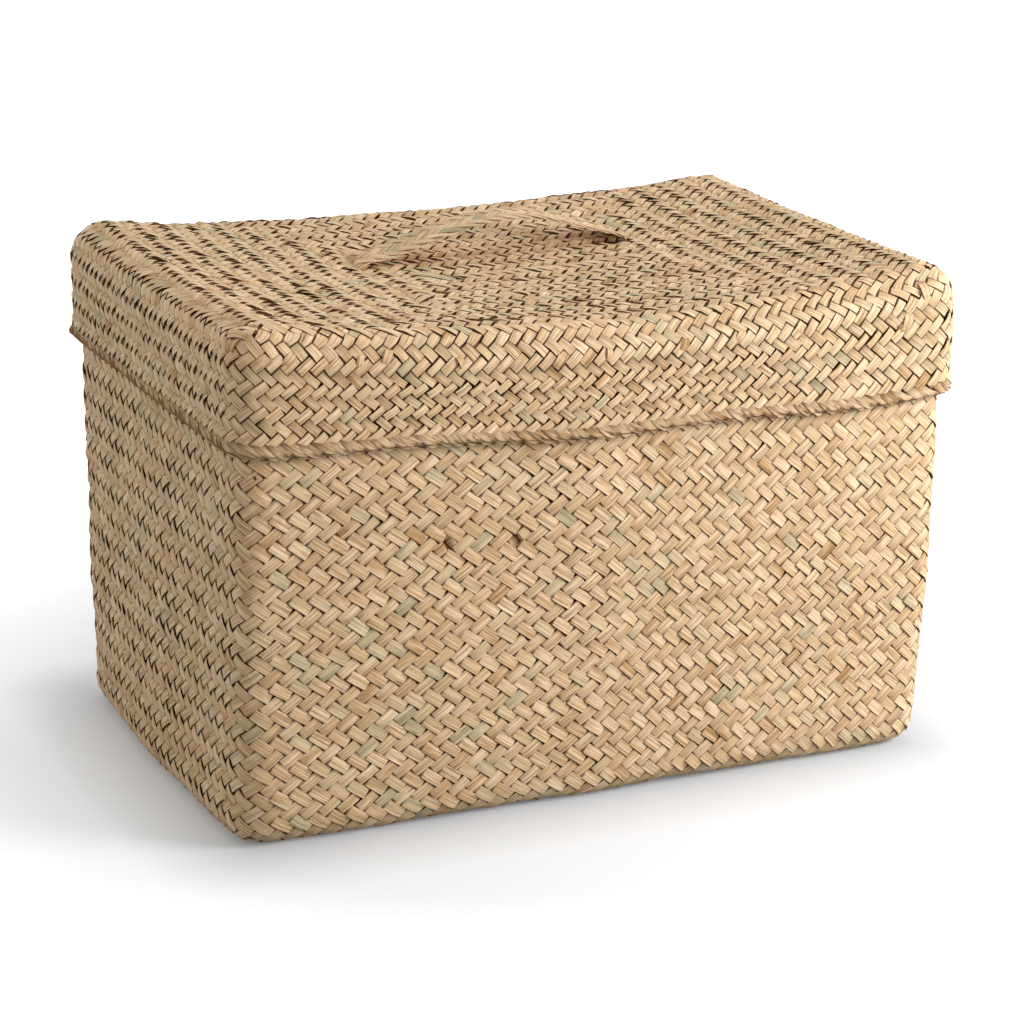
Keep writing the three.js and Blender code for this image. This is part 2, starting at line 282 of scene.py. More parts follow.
def strandStations(path):
    segments, states = [], []
    for onWall, crossings in ((1, path["start"][::-1]), (0, path["panel"]), (1, path["end"])):
        for here, there in zip(crossings[:-1], crossings[1:]):
            segments.append((onWall, *here[:2], *there[:2]))
            states.append((here[2], there[2]))
    if len(segments) < 4:
        return None
    seg = np.array(segments, float)
    state = np.array([states[0][0]] + [after for before, after in states], bool)
    count = len(seg)
    diving = (state[:-1] & ~state[1:])[:, None]  # down by the edge of the straw that it dives under
    rising = (~state[:-1] & state[1:])[:, None]
    shares = np.where(rising, stations["rising"], stations["level"])
    shares = np.where(diving, stations["diving"], shares).ravel()
    rows = np.repeat(np.arange(count), 2)
    onWall = seg[rows, 0] > 0.5
    a = mix(seg[rows, 1], seg[rows, 3], shares)
    b = mix(seg[rows, 2], seg[rows, 4], shares)
    place = rows + shares
    crossing = rows + np.tile([0, 1], count)
    # each run of equal crossings is one float, arched from end to end
    runStart = np.concatenate([[0], np.nonzero(np.diff(state.astype(int)))[0] + 1])
    runEnd = np.concatenate([runStart[1:] - 1, [len(state) - 1]])
    run = np.repeat(np.arange(len(runStart)), runEnd - runStart + 1)[crossing]
    middle = (runStart + runEnd)[run] / 2
    half = (runEnd - runStart)[run] / 2 + 0.5
    return {"onWall": onWall, "a": a, "b": b, "place": place, "over": state[crossing],
            "bend": (place - middle) / half, "run": run}


# one straw: a step of its section is modelled, then repeated to the length that a strand needs
straw = {"section": ((-0.5, -0.3), (-0.465, 0.09), (0.465, 0.09), (0.5, -0.3), (0.0, -0.62))}
blanks = {}


def strawBlank(steps):
    if steps in blanks:
        return blanks[steps]
    bpy.ops.object.select_all(action="DESELECT")
    bpy.ops.mesh.primitive_circle_add(vertices=5, radius=0.5, fill_type="NOTHING")
    obj = bpy.context.object
    for vertex, (x, z) in zip(obj.data.vertices, straw["section"]):
        vertex.co = (x, 0, z)
    bpy.ops.object.mode_set(mode="EDIT")
    bpy.ops.mesh.select_all(action="SELECT")
    bpy.ops.mesh.extrude_edges_move(TRANSFORM_OT_translate={"value": (0, 1, 0)})
    bpy.ops.object.mode_set(mode="OBJECT")
    repeat = obj.modifiers.new("length", "ARRAY")
    repeat.count = steps
    repeat.use_relative_offset = False
    repeat.use_constant_offset = True
    repeat.constant_offset_displace = (0, 1, 0)
    repeat.use_merge_vertices = True
    repeat.merge_threshold = 0.01
    bpy.ops.object.modifier_apply(modifier=repeat.name)
    bpy.ops.object.mode_set(mode="EDIT")
    bpy.ops.mesh.select_all(action="SELECT")
    bpy.ops.mesh.fill_holes(sides=0)
    bpy.ops.mesh.normals_make_consistent(inside=False)
    bpy.ops.object.mode_set(mode="OBJECT")
    mesh = obj.data
    co = np.zeros(len(mesh.vertices) * 3)
    mesh.vertices.foreach_get("co", co)
    corners = np.zeros(len(mesh.loops), int)
    mesh.loops.foreach_get("vertex_index", corners)
    sizes = np.zeros(len(mesh.polygons), int)
    mesh.polygons.foreach_get("loop_total", sizes)
    bpy.data.objects.remove(obj)
    bpy.data.meshes.remove(mesh)
    co = co.reshape(-1, 3)
    order = np.lexsort((co[:, 2], co[:, 0], np.rint(co[:, 1])))  # one order of points and faces in every run
    faces = np.split(np.argsort(order)[corners], np.cumsum(sizes)[:-1])
    faces = sorted((np.roll(face, -face.argmin()) for face in faces), key=lambda face: (len(face), *face))
    sizes = np.array([len(face) for face in faces])
    blanks[steps] = (co[order], np.concatenate(faces), sizes)
    return blanks[steps]


def layStraw(p, normal, width, lift, thick, tilt, strand, tone, paintedShade, high=None):  # bent along its stations
    co, corners, sizes = strawBlank(len(p) - 1)
    ring = np.rint(co[:, 1]).astype(int)
    tangent = unit(np.gradient(p, axis=0))
    side = unit(np.cross(tangent, normal))
    across = co[:, 0] * width[ring]
    up = lift[ring] + co[:, 2] * thick + across * tilt[ring]
    verts = p[ring] + side[ring] * across[:, None] + normal[ring] * up[:, None]
    run = np.concatenate([[0], np.cumsum(np.linalg.norm(np.diff(p, axis=0), axis=1))])
    faceOf = np.repeat(np.arange(len(sizes)), sizes)
    meanZ = np.bincount(faceOf, co[corners, 2]) / sizes
    meanRing = np.bincount(faceOf, co[corners, 1]) / sizes
    # weight for the painted edge shade: highest at the straw's edge turned away from the upper right
    shadowSide = np.full(len(verts), 0.5) if high is None else 0.5 - co[:, 0] * high[ring]
    return {"verts": verts, "corners": corners, "sizes": sizes, "ring": ring,
            "across": co[:, 0] + 0.5, "along": run[ring],
            "strand": np.full(len(verts), strand), "tone": tone[ring], "paintedShade": paintedShade[ring], "shadowSide": shadowSide,
            "face": faceOf, "top": meanZ > -0.05, "cap": sizes == 5, "meanRing": meanRing}


def strandObject(name, straws, material):
    vertCount = np.cumsum([0] + [len(s["verts"]) for s in straws])
    steps = [int(s["ring"].max()) for s in straws]
    tape = np.cumsum([0] + [k + 1 for k in steps])  # all straws end to end, cut into rows for the bake
    rowSteps = max(max(steps) // 4, math.ceil(math.sqrt(2 * tape[-1])))
    rowHeight = 1.0 / math.ceil(tape[-1] / rowSteps)
    verts = np.concatenate([s["verts"] for s in straws]) * mm
    corners = np.concatenate([s["corners"] + vertCount[k] for k, s in enumerate(straws)])
    sizes = np.concatenate([s["sizes"] for s in straws])
    pattern, bake = [], []
    for k, s in enumerate(straws):
        ring = s["ring"][s["corners"]].astype(float) + tape[k]
        across = s["across"][s["corners"]]
        face = s["face"]
        pattern.append(np.stack([across, s["along"][s["corners"]] * mm], 1))
        middle = np.clip(s["meanRing"], 0.5, steps[k] - 0.5) + tape[k]
        row = np.floor(middle / rowSteps)
        x = (ring - row[face] * rowSteps) / rowSteps
        y = np.where(s["top"][face], 0.06 + 0.64 * across, 0.76 + 0.16 * across)
        y = np.where(s["cap"][face], 0.955 + 0.02 * across, y)  # ends of a straw take a sliver beside the row
        bake.append(np.stack([0.004 + 0.992 * x, (row[face] + y) * rowHeight], 1))
    mesh = bpy.data.meshes.new(name)
    mesh.vertices.add(len(verts))
    mesh.vertices.foreach_set("co", verts.astype(np.float32).ravel())
    mesh.loops.add(len(corners))
    mesh.loops.foreach_set("vertex_index", corners.astype(np.int32))
    mesh.polygons.add(len(sizes))
    mesh.polygons.foreach_set("loop_start", np.concatenate([[0], np.cumsum(sizes)[:-1]]).astype(np.int32))
    for layer, data in (("straw", pattern), ("OFBake", bake)):
        uv = mesh.uv_layers.new(name=layer)
        uv.data.foreach_set("uv", np.concatenate(data).astype(np.float32).ravel())
    for label in ("strand", "tone", "paintedShade", "shadowSide"):
        attribute = mesh.attributes.new(label, "FLOAT", "POINT")
        attribute.data.foreach_set("value", np.concatenate([s[label] for s in straws]).astype(np.float32))
    mesh.update(calc_edges=True)
    mesh.materials.append(material)
    obj = bpy.data.objects.new(name, mesh)
    scene.collection.objects.link(obj)
    bpy.ops.object.select_all(action="DESELECT")
    obj.select_set(True)
    bpy.context.view_layer.objects.active = obj
    bpy.ops.object.shade_smooth_by_angle(angle=math.radians(20))
    return obj


def smoothNoise(rng, count, size, reach):
    raw = rng.normal(size=count + 2 * reach)
    blur = np.hanning(2 * reach + 1)
    soft = np.convolve(raw, blur / blur.sum(), mode="valid")
    return size * soft[:count] * math.sqrt(reach)


plaiting = {"spacing": (0.55, 1.25), "fill": (0.75, 1.16),  # least and most
            "under": (0.7, 0.15), "calm": (8.0, 0.45), "pit": 1.2}


def plaitStraws(tray, look, overOnPanel):
    rng = np.random.default_rng(look["seed"])
    straws = []
    for path in strandPaths(tray, overOnPanel):
        st = strandStations(path)
        if st is None:
            continue
        count = len(st["a"])
        runs = st["run"].max() + 1
        p, normal, cell = surfaceFrame(tray, st["onWall"], st["a"], st["b"])
        if look["inside"]:
            p = p - normal * bodyShape["wall"]
            normal = -normal
        facing = normal[:, (1, 0, 2)] ** 2  # shares of front, side and top
        calmOver, calmest = plaiting["calm"]
        calm = np.interp(p[:, 2], (look["calmAbove"] - calmOver, look["calmAbove"]), (1, calmest))
        relief = facing @ np.array(look["relief"]) * calm
        p = p - normal * (look["sink"] + 0.5 * relief)[:, None]
        stride = np.linalg.norm(np.gradient(p, st["place"], axis=0), axis=1)
        spacing = 2 * cell / np.maximum(stride, 0.5)
        spacing = np.clip(spacing, *(share * np.median(spacing) for share in plaiting["spacing"]))
        fill = look["fill"] - look["sideGap"] * facing[:, 1]
        fill = fill + rng.normal() * look["fillSpread"] + smoothNoise(rng, count, 0.02, 6)
        width = spacing * np.clip(fill, *plaiting["fill"])
        tangent = unit(np.gradient(p, axis=0))
        side = unit(np.cross(tangent, normal))
        level = np.abs(normal[:, 2:]) > 0.75
        right = unit(np.where(level, (1.0, 0, 0), np.cross((0, 0, 1.0), normal)))
        up = np.cross(normal, right)
        rising = np.sum(tangent * right, axis=1) * np.sum(tangent * up, axis=1) > 0  # leans like / in view
        proud = np.where(rising, *look["proud"])
        arch = 1 - look["arch"] * st["bend"] ** 2
        sunk = plaiting["under"][0] * arch + plaiting["under"][1]
        lift = relief * np.where(st["over"], arch * proud, -sunk)
        lift = lift + calm * rng.normal(0, look["uneven"], runs)[st["run"]]
        p = p + side * smoothNoise(rng, count, look["wander"], 5)[:, None]
        edgeUp = np.sum(side * (up + np.where(rising, -1, 1)[:, None] * right), axis=1)
        tilt = np.where(rising, *look["lean"]) * facing[:, 0] * np.sign(edgeUp)
        tilt = calm * (tilt + rng.normal(0, look["tilt"], runs)[st["run"]])
        tone = rng.uniform(size=runs)[st["run"]]
        # painted shade: over floats darken a little at their ends and, on front-facing walls, towards the end
        # that the crossing floats shade
        leftward = np.clip(-st["bend"] * np.sign(np.sum(tangent * right, axis=1)), 0, 1)
        paintedShade = np.abs(st["bend"]) ** 6 * 0.1 + np.where(rising, *look["gradient"]) * facing[:, 0] * leftward
        # painted shade: the parts under other straws are dark where they show in the gaps, most on
        # front-facing walls
        nearEnd = np.abs(st["bend"]) > 0.8
        under = np.where(nearEnd, mix(0.15, 1.0, facing[:, 0]), mix(1.0, 0.75, facing[:, 2]))
        paintedShade = np.where(st["over"], paintedShade, under)
        for (x, y, z), reach in look["pitsAndShadows"]:  # a few places where the straws have parted: sunk, and painted fully dark as shade
            pit = np.linalg.norm(p - (x, y, z), axis=1) < reach
            lift = np.where(pit, lift - plaiting["pit"], lift)
            paintedShade = np.where(pit, 1.0, paintedShade)
        straws.append(layStraw(p, normal, width, lift, look["thick"], tilt, rng.uniform(), tone, paintedShade,
                               np.tanh(4 * edgeUp)))
    return straws


def inGroups(name, straws, groups, material, body, nodes):
    made = []
    for g in range(groups):
        share = straws[g * len(straws) // groups:(g + 1) * len(straws) // groups]
        obj = strandObject(f"{name}_{g + 1}" if groups > 1 else name, share, material)
        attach(obj, body)
        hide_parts(*nodes)
        made.append(obj)
    print(name, "strands", len(straws), "faces", sum(len(o.data.polygons) for o in made))
    return made


# straw finish
finish = {
    "tones": ((0.0, (0.50, 0.42, 0.255)), (0.14, (0.66, 0.54, 0.34)), (0.22, (0.86, 0.645, 0.395)),
              (0.4, (0.80, 0.555, 0.30)), (0.51, (1.0, 0.745, 0.49)), (0.62, (0.77, 0.50, 0.26)),
              (0.75, (0.97, 0.69, 0.44)), (0.88, (0.66, 0.40, 0.185)), (1.0, (0.52, 0.285, 0.11))),
    "pale": (1.0, 0.83, 0.61), "fleck": (0.22, 0.10, 0.04), "shade": (0.09, 0.042, 0.014),
}


def node(tree, kind, at=(0, 0), **values):
    made = tree.nodes.new(kind)
    made.location = at
    for key, value in values.items():
        setattr(made, key, value)
    return made


def feed(tree, socket, value):
    if isinstance(value, (int, float)):
        socket.default_value = value
    elif isinstance(value, tuple):
        socket.default_value = (*value, 1)
    else:
        tree.links.new(value, socket)


def calc(tree, operation, a, b=0.0, clamp=False):
    made = node(tree, "ShaderNodeMath", operation=operation, use_clamp=clamp)
    feed(tree, made.inputs[0], a)
    feed(tree, made.inputs[1], b)
    return made.outputs[0]


def noise(tree, vector, detail=2.0, rough=0.5):
    made = node(tree, "ShaderNodeTexNoise")
    made.inputs["Scale"].default_value = 1.0
    made.inputs["Detail"].default_value = detail
    made.inputs["Roughness"].default_value = rough
    tree.links.new(vector, made.inputs["Vector"])
    return made.outputs["Fac"]


def mapRange(tree, value, fromLow, fromHigh, toLow, toHigh):
    made = node(tree, "ShaderNodeMapRange", clamp=True)
    for key, number in zip(("Value", "From Min", "From Max", "To Min", "To Max"),
                           (value, fromLow, fromHigh, toLow, toHigh)):
        feed(tree, made.inputs[key], number)
    return made.outputs["Result"]


def combine(tree, x, y, z):
    made = node(tree, "ShaderNodeCombineXYZ")
    for socket, value in zip(made.inputs, (x, y, z)):
        feed(tree, socket, value)
    return made.outputs[0]


def mixColour(tree, factor, a, b, blend="MIX"):
    made = node(tree, "ShaderNodeMix", data_type="RGBA", blend_type=blend)
    for key, value in ((0, factor), (6, a), (7, b)):
        feed(tree, made.inputs[key], value)
    return made.outputs[2]


def strawGroup():
    tree = bpy.data.node_groups.new("strawFibre", "ShaderNodeTree")
    for side, labels in (("INPUT", ("Depth", "Edge", "Warmth", "Wax")),
                         ("OUTPUT", ("Colour", "Roughness", "Skin", "Fibre"))):
        for label in labels:
            kind = "NodeSocketColor" if label == "Colour" else "NodeSocketFloat"
            tree.interface.new_socket(name=label, in_out=side, socket_type=kind)
    given = node(tree, "NodeGroupInput", (-1800, 0))
    out = node(tree, "NodeGroupOutput", (900, 0))
    uv = node(tree, "ShaderNodeUVMap", uv_map="straw")
    split = node(tree, "ShaderNodeSeparateXYZ")
    tree.links.new(uv.outputs[0], split.inputs[0])
    across, along = split.outputs[0], split.outputs[1]
    strand, ownTone, paintedShade, shadowSide = (node(tree, "ShaderNodeAttribute", attribute_name=label).outputs["Fac"]
                                 for label in ("strand", "tone", "paintedShade", "shadowSide"))

    def times(a, b):
        return calc(tree, "MULTIPLY", a, b)

    def plus(a, b):
        return calc(tree, "ADD", a, b)

    def grain(wide, long, shift, detail, rough=0.5):  # noise drawn out along the straw
        lane = plus(times(strand, 173.0), shift)
        return noise(tree, combine(tree, times(across, wide), times(along, long), lane), detail, rough)

    # tone of each float, near the tone of its straw
    drift = grain(1.6, 60.0, 0.0, 2.0)
    tone = plus(times(strand, 0.48), times(ownTone, 0.34))
    tone = plus(tone, times(calc(tree, "SUBTRACT", drift, 0.3), 0.5))
    tone = plus(tone, given.outputs["Warmth"])
    ramp = node(tree, "ShaderNodeValToRGB")
    while len(ramp.color_ramp.elements) < len(finish["tones"]):
        ramp.color_ramp.elements.new(0.5)
    for element, (place, colour) in zip(ramp.color_ramp.elements, finish["tones"]):
        element.position = place
        element.color = (*colour, 1)
    tree.links.new(tone, ramp.inputs[0])
    # long fibres, and a few splits between them
    fine = grain(17.0, 45.0, 0.0, 2.0, 0.6)
    broad = grain(6.5, 30.0, 9.0, 1.0)
    streak = plus(times(fine, 0.6), times(broad, 0.4))
    streaky = mapRange(tree, ownTone, 0.0, 1.0, 0.4, 1.0)
    light = plus(0.98, times(streaky, mapRange(tree, streak, 0.34, 0.66, -0.55, 0.4)))
    colour = mixColour(tree, 1.0, ramp.outputs[0], combine(tree, light, light, light), "MULTIPLY")
    colour = mixColour(tree, mapRange(tree, broad, 0.55, 0.72, 0.0, 0.55), colour, finish["pale"])
    splitLine = mapRange(tree, fine, 0.3, 0.37, 0.55, 0.0)
    fleck = mapRange(tree, grain(3.0, 70.0, 40.0, 1.0), 0.73, 0.8, 0.0, 0.8)
    colour = mixColour(tree, calc(tree, "MAXIMUM", splitLine, fleck), colour, finish["fleck"])
    # painted shade: the edges of the straw, darkest on the side turned from the light, and the ends that dive
    # under are darker
    edge = calc(tree, "ABSOLUTE", calc(tree, "SUBTRACT", across, 0.5))
    rimShade = times(mapRange(tree, edge, 0.42, 0.465, 0.0, 1.0), given.outputs["Edge"])
    rimShade = times(rimShade, mapRange(tree, shadowSide, 0.1, 0.9, 0.3, 1.0))
    faces = node(tree, "ShaderNodeSeparateXYZ")  # the painted edge shade shows less on the top than on the walls
    tree.links.new(node(tree, "ShaderNodeNewGeometry").outputs["True Normal"], faces.inputs[0])
    level = times(faces.outputs[2], faces.outputs[2])
    rimShade = times(rimShade, mapRange(tree, level, 0.3, 0.8, 1.0, 0.3))
    # painted shade: the per-point shade attribute darkens straw where it dives under others or lies in a gap
    depth = calc(tree, "MULTIPLY", paintedShade, given.outputs["Depth"], clamp=True)
    shade = calc(tree, "MAXIMUM", rimShade, depth)
    colour = mixColour(tree, shade, colour, mixColour(tree, 1.0, colour, finish["shade"], "MULTIPLY"))
    tree.links.new(colour, out.inputs["Colour"])
    tree.links.new(mapRange(tree, streak, 0.3, 0.7, 0.62, 0.4), out.inputs["Roughness"])
    skin = times(mapRange(tree, shade, 0.0, 0.6, 1.0, 0.0), mapRange(tree, streak, 0.35, 0.6, 0.6, 1.0))
    tree.links.new(times(skin, given.outputs["Wax"]), out.inputs["Skin"])
    tree.links.new(streak, out.inputs["Fibre"])
    return tree


strawFibre = strawGroup()


def strawMaterial(name, depth, edge, warmth, wax, satin, bump):
    material = bpy.data.materials.new(name)
    material.use_nodes = True
    tree = material.node_tree
    shader = tree.nodes["Principled BSDF"]
    group = node(tree, "ShaderNodeGroup", (-500, 0))
    group.node_tree = strawFibre
    for label, value in (("Depth", depth), ("Edge", edge), ("Warmth", warmth), ("Wax", wax)):
        group.inputs[label].default_value = value
    relief = node(tree, "ShaderNodeBump", (-250, -250))
    relief.inputs["Strength"].default_value = bump
    relief.inputs["Distance"].default_value = 0.0004
    tree.links.new(group.outputs["Fibre"], relief.inputs["Height"])
    tree.links.new(group.outputs["Colour"], shader.inputs["Base Color"])
    tree.links.new(group.outputs["Roughness"], shader.inputs["Roughness"])
    tree.links.new(relief.outputs[0], shader.inputs["Normal"])
    shader.inputs["Specular IOR Level"].default_value = 0.0  # the waxy skin of the straw alone shines
    shader.inputs["Coat Roughness"].default_value = satin
    tree.links.new(group.outputs["Skin"], shader.inputs["Coat Weight"])
    return material


strawOuter = strawMaterial("strawOuter", depth=1.0, edge=1.0, warmth=0.0, wax=0.3, satin=0.4, bump=0.5)
strawLid = strawMaterial("strawLid", depth=1.0, edge=0.95, warmth=0.0, wax=0.35, satin=0.36, bump=0.5)
strawInner = strawMaterial("strawInner", depth=1.0, edge=0.8, warmth=0.06, wax=0.2, satin=0.45, bump=0.4)
strawFold = strawMaterial("strawFold", depth=0.9, edge=0.75, warmth=0.05, wax=0.35, satin=0.4, bump=0.6)
strawStrap = strawMaterial("strawStrap", depth=0.9, edge=0.4, warmth=0.0, wax=0.35, satin=0.4, bump=0.6)
print("straw materials made")


# body plait
bodyPlait = {"cells": (42, 26), "rows": 65, "seed": 11, "inside": False,
             "relief": (0.6, 1.15, 0.5),  # front, side, level
             "arch": 0.45, "thick": 0.85, "sink": 0.25,
             "fill": 1.07, "sideGap": 0.12, "fillSpread": 0.05, "wander": 0.2, "tilt": 0.06, "uneven": 0.08,
             "proud": (0.85, 1.15), "lean": (0.0, -0.07), "gradient": (0.2, 0.05),  # rising, falling floats
             "calmAbove": 178.0,  # flatter where the lid slides
             "pitsAndShadows": (((-81.4, -120.5, 137.6), 2.2), ((-46.8, -120.0, 134.3), 2.0))}


def bodyOver(x, y, way):  # rows follow the front and back over the whole base
    m = bodyPlait["cells"][1]
    lean = ((y + m - body["phase"]) % 4) in (0, 3)
    return lean if way == 1 else not lean


body = bodyTray()
body.update({"cells": bodyPlait["cells"], "rows": bodyPlait["rows"], "phase": 2, "closer": -0.086})
inGroups("body_outer_strands", plaitStraws(body, bodyPlait, bodyOver), 8, strawOuter, "body",
         ["body_outer_ply"])
bodyLining = {**bodyPlait, "seed": 12, "inside": True, "relief": (0.45, 0.45, 0.45), "pitsAndShadows": ()}
inGroups("body_inner_strands", plaitStraws(body, bodyLining, bodyOver), 4, strawInner, "body",
         ["body_inner_ply"])

# lid plait
lidPlait = {"cells": (53, 35), "rows": 18, "seed": 21, "inside": False,
            "relief": (0.85, 1.4, 1.3), "arch": 0.5, "thick": 0.8, "sink": 0.25,
            "fill": 0.98, "sideGap": 0.02, "fillSpread": 0.06, "wander": 0.26, "tilt": 0.09, "uneven": 0.12,
            "proud": (1.1, 0.9), "lean": (0.0, 0.1), "gradient": (0.05, 0.3),
            "calmAbove": 400.0,  # over the whole lid, so nowhere flatter
            # painted shadow: the pits from (80, 30) to (65, 33) darken the lid in front of the strap's right
            # foot, under the strap
            "pitsAndShadows": (((-116.7, -26.5, 236.1), 3.4), ((80.0, 30.0, 234.4), 3.6), ((75.0, 31.0, 234.1), 3.4),
                      ((70.0, 32.0, 233.9), 3.0), ((65.0, 33.0, 233.7), 2.4)),
            "leftZone": (-36.0, 0.6), "rightZone": (72.0, 0.33)}


def lidOver(x, y, way):  # three zones on the top: rows turn along the short sides near both ends
    n, m = lidPlait["cells"]
    px = x * (lid["flat"][0] + lid["arc"] / 2) / n
    py = y * (lid["flat"][1] + lid["arc"] / 2) / m
    (leftAt, leftSlope), (rightAt, rightSlope) = lidPlait["leftZone"], lidPlait["rightZone"]
    row, along = m - abs(y), 1
    if row >= 3:  # the first rows follow the front and back everywhere
        if px < leftAt - leftSlope * abs(py):
            row, along = x + n, -1
        elif px > rightAt + rightSlope * abs(py):
            row, along = n - x, -1
    lean = ((row - lid["phase"]) % 4) in (0, 3)
    return lean if way == along else not lean


lid = lidTray()
lid.update({"cells": lidPlait["cells"], "rows": lidPlait["rows"], "phase": 1, "closer": 0.0})


# ends of straws that stand out of the plait: place on the wall net (round, down), heading, length, height,
# width, strand, tone
looseEnds = {"seed": 23, "rise": 0.5, "ends": (
    (6.2, 2.7, 40, 8, 1.6, 4.0, 0.6, 0.9), (16.0, 2.5, 75, 7, 1.4, 3.6, 0.5, 0.95),
    (19.7, 2.0, 60, 9, 2.4, 4.2, 0.6, 0.9), (30.0, 2.7, 110, 7, 1.5, 3.6, 0.9, 1.0),
    (44.2, 3.5, 50, 8, 1.6, 3.8, 0.6, 0.9), (51.7, 3.2, 80, 7, 1.8, 3.4, 0.6, 0.85),
    (63.0, 3.2, 65, 8, 1.5, 3.8, 0.95, 1.0), (71.5, 3.0, 45, 8, 1.4, 3.8, 0.6, 0.9),
    (80.7, 3.5, 70, 7, 1.5, 3.6, 0.6, 0.9), (97.7, 6.0, 70, 11, 2.6, 5.0, 0.6, 0.9),
    (97.0, 6.6, 20, 6, 1.6, 4.0, 1.0, 1.0), (101.2, 2.0, 100, 10, 2.4, 4.6, 0.6, 0.9),
    (350.2, 0.2, 15, 13, 3.0, 4.6, 0.6, 0.9), (350.6, 1.6, 80, 9, 1.7, 5.0, 1.0, 1.0))}


def looseStraws(tray, look):
    rng = np.random.default_rng(look["seed"])
    straws = []
    for q, d, heading, length, height, width, strand, tone in look["ends"]:
        p, normal, _ = surfaceFrame(tray, np.array([True]), np.array([q]), np.array([d]))
        right = unit(np.cross((0, 0, 1.0), normal))
        turn = math.radians(heading)
        way = math.cos(turn) * right + math.sin(turn) * np.cross(normal, right)
        t = np.linspace(-1, 1, 9)
        line = p + way * (t * length / 2)[:, None] - normal * (0.02 * length * t ** 2)[:, None]
        lift = (height * look["rise"] + 0.9) * (1 - np.abs(t) ** 2.4) - 0.9  # both ends run into the plait
        twist = 0.25 * t + rng.normal(0, 0.12)
        normals = np.repeat(normal, len(t), axis=0)
        # painted shade towards both ends, where they run into the plait
        straws.append(layStraw(line, normals, width * (1 - 0.25 * t ** 2), lift, 0.6, twist, strand,
                               np.full(len(t), tone), 0.5 * np.abs(t) ** 4))
    return straws


lidStraws = plaitStraws(lid, lidPlait, lidOver) + looseStraws(lid, looseEnds)
inGroups("lid_outer_strands", lidStraws, 6, strawLid, "lid", ["lid_outer_ply"])
lidLining = {**lidPlait, "seed": 22, "inside": True, "relief": (0.4, 0.4, 0.4), "pitsAndShadows": ()}
inGroups("lid_inner_strands", plaitStraws(lid, lidLining, lidOver), 3, strawInner, "lid",
         ["lid_inner_ply"])


# turned edges: each straw that comes out from under the last floats swings flat and folds over the edge
# (path: out from the wall and up from the edge, station by station)
hemFold = {"seed": 31, "width": 4.9, "thick": 0.5, "tilt": 0.03, "slant": (43.0, 15.0),
           "path": ((-1.0, 7.6), (-0.6, 6.3), (-0.05, 5.0), (0.3, 3.6), (0.4, 2.2), (0.35, 0.9),
                    (-0.2, 0.1), (-1.65, 0.0), (-2.9, 0.15), (-3.35, 0.9), (-3.4, 2.2), (-3.4, 3.6),
                    (-3.2, 5.0), (-2.6, 6.6))}
rimFold = {"seed": 32, "width": 4.9, "thick": 0.5, "tilt": 0.03, "slant": (43.0, 15.0),
           "path": ((-1.15, -7.8), (-0.8, -6.5), (-0.3, -5.2), (0.0, -3.8), (0.05, -2.4), (0.0, -1.3),
                    (-0.6, -0.5), (-1.65, -0.25), (-2.7, -0.5), (-3.3, -1.3), (-3.35, -2.4), (-3.35, -3.8),
                    (-3.2, -5.2), (-2.6, -6.8))}
foldShade = {"at": (0.05, 0.3, 0.4, 0.48), "paintedShade": (0.9, 0.12, 0.12, 0.75)}  # out of the shade and back


def foldStraws(tray, look):
    rng = np.random.default_rng(look["seed"])
    n, m = tray["cells"]
    lap = 4 * n + 4 * m
    pathOut, pathUp = np.array(look["path"]).T
    count = 2 * len(pathOut) - 1  # one more station between each two of the path
    out = np.interp(np.linspace(0, 1, count), np.linspace(0, 1, len(pathOut)), pathOut)
    up = np.interp(np.linspace(0, 1, count), np.linspace(0, 1, len(pathUp)), pathUp)
    swing = np.clip(np.linspace(-0.7, 3.3, count - 1), 0, 1)  # swings flat towards the edge
    slant = mix(*look["slant"], swing)
    ahead = np.concatenate([[0], np.cumsum(np.hypot(np.diff(out), np.diff(up)) / np.tan(np.radians(slant)))])
    twoCells = wallPoint(tray, np.array([n - 1.0, n + 1.0]), np.zeros(2))
    cellLength = np.linalg.norm(twoCells[1] - twoCells[0]) / 2
    outward = np.sign(up[-1] - up[0] + up[count // 2] - up[0])
    radial = unit(np.stack([np.gradient(up), -np.gradient(out)], 1)) * outward
    upright = np.array((0, 0, 1.0))
    wallReach = tray["reach"] - tray["arc"] / 2
    first = tray["rows"] * (1 - abs(pathUp[0]) / wallReach)  # row where the straws begin
    straws = []
    for k in range(0, lap, 2):
        q = k + first + rng.uniform(-0.25, 0.25) + ahead / cellLength * rng.uniform(0.85, 1.2)
        p, normal, _ = surfaceFrame(tray, np.ones(count, bool), q, np.full(count, float(tray["rows"])))
        flat = unit(normal * (1, 1, 0))
        p = p + flat * out[:, None] + upright * up[:, None]
        around = unit(flat * radial[:, :1] + upright * radial[:, 1:])
        width = look["width"] * (1 + rng.normal(0, 0.12)) * np.ones(count)
        lift = rng.normal(0, 0.04) + smoothNoise(rng, count, 0.03, 3)
        tilt = np.full(count, look["tilt"] + rng.normal(0, 0.02))
        paintedShade = np.interp(np.arange(count) / count, foldShade["at"], foldShade["paintedShade"])
        straws.append(layStraw(p, around, width, lift, look["thick"], tilt, rng.uniform(),
                               np.full(count, rng.uniform()), paintedShade))
    return straws


inGroups("lid_hem_wraps", foldStraws(lid, hemFold), 1, strawFold, "lid", ["lid_hem_fold"])
inGroups("body_rim_wraps", foldStraws(body, rimFold), 1, strawFold, "body", ["body_rim_fold"])


